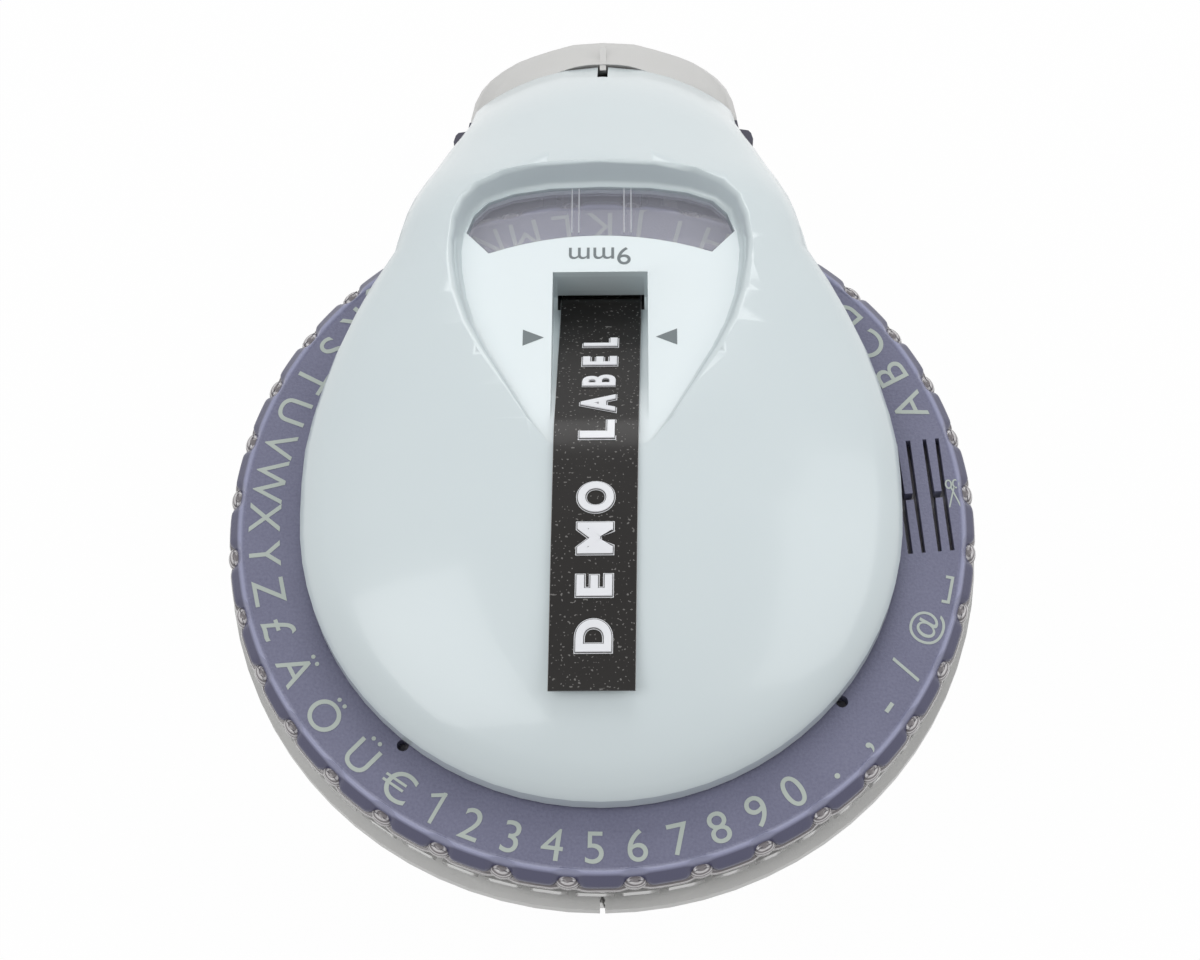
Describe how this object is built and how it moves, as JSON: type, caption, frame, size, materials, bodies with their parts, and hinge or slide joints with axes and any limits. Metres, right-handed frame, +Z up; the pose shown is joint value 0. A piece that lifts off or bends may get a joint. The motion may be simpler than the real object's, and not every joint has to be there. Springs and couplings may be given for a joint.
{
  "type": "embossing label maker",
  "caption": "Handheld embossing label maker with a pale domed cover, a turning letter dial with scalloped rim, a squeeze lever under the handle and black tape coming out of the top",
  "frame": {"origin": "Centre of the wheel axis on the flat foot; the foot is the plane Z = 0.", "axes": "+Z up along the wheel axis, +Y towards the handle, +X to the right when the handle points away."},
  "size_m": [0.088, 0.1226, 0.068],
  "materials": {
    "cover_pale": "pale blue-white glossy moulding",
    "housing_grey": "warm light grey satin moulding",
    "dial_purple": "purple-grey satin moulding",
    "smoky_clear": "smoky clear moulding",
    "pale_clear": "milky clear moulding",
    "clear_window": "clear moulded plastic window",
    "dark_plastic": "dark plain moulding",
    "white_plastic": "natural white moulding",
    "bright_steel": "plain steel",
    "black_rubber": "black rubber",
    "tape_black": "glossy black embossing tape",
    "grip_dark": "dark purple-grey grip"
  },
  "bodies": {
    "housing": {"base_left": "housing_grey", "base_right": "housing_grey", "top_cover": "cover_pale", "window_lens": "clear_window", "inner_frame": "dark_plastic", "frame_screw_left": "bright_steel", "frame_screw_right": "bright_steel", "cover_screw_left": "bright_steel", "cover_screw_right": "bright_steel", "pinion_pin": "bright_steel", "lever_pin": "bright_steel", "return_spring": "bright_steel", "roll_spindle": "bright_steel", "tape_strip": "tape_black", "door_pin": "bright_steel", "grip_pad_left": "grip_dark", "grip_pad_right": "grip_dark"},
    "wheel": {"letter_dial": "dial_purple", "upper_die_ring": "smoky_clear", "lower_die_ring": "pale_clear", "cutter_blade": "bright_steel"},
    "pinion": {"sync_pinion": "white_plastic"},
    "lever": {"squeeze_lever": "dial_purple"},
    "striker": {"hammer": "white_plastic", "feed_pawl": "bright_steel"},
    "feed": {"feed_roller": "black_rubber", "feed_axle": "bright_steel", "ratchet_wheel": "white_plastic"},
    "roll": {"tape_roll": "tape_black", "roll_core": "white_plastic"},
    "door": {"tape_door": "housing_grey"}
  },
  "joints": [
    {"name": "dial_spin", "type": "hinge", "parent": "housing", "child": "wheel", "pos_m": [0, 0, 0.0525], "axis": [0, 0, 1], "continuous": true},
    {"name": "pinion_spin", "type": "hinge", "parent": "housing", "child": "pinion", "pos_m": [0, -0.02695, 0.0511], "axis": [0, 0, 1], "continuous": true},
    {"name": "lever_squeeze", "type": "hinge", "parent": "housing", "child": "lever", "pos_m": [0, 0.012, 0.009], "axis": [1, 0, 0], "range_deg": [0, 5.5], "stiffness_Nm_per_rad": 0.5, "springref_deg": -5.73, "deforming": ["return_spring"]},
    {"name": "hammer_lift", "type": "slide", "parent": "housing", "child": "striker", "axis": [0, 0, 1], "range_m": [0, 0.0026]},
    {"name": "feed_turn", "type": "hinge", "parent": "housing", "child": "feed", "pos_m": [0, 0.0475, 0.04835], "axis": [-1, 0, 0], "range_deg": [0, 30.1]},
    {"name": "roll_spin", "type": "hinge", "parent": "housing", "child": "roll", "pos_m": [0, 0.057, 0.029], "axis": [1, 0, 0], "continuous": true},
    {"name": "door_open", "type": "hinge", "parent": "housing", "child": "door", "pos_m": [0, 0.0684, 0.0095], "axis": [-1, 0, 0], "range_deg": [0, 70]}
  ],
  "couplings": [
    {"joint": "pinion_spin", "follows": "dial_spin", "ratio": 6},
    {"joint": "hammer_lift", "follows": "lever_squeeze", "m_per_rad": 0.026},
    {"joint": "feed_turn", "follows": "lever_squeeze", "ratio": 5.45}
  ]
}
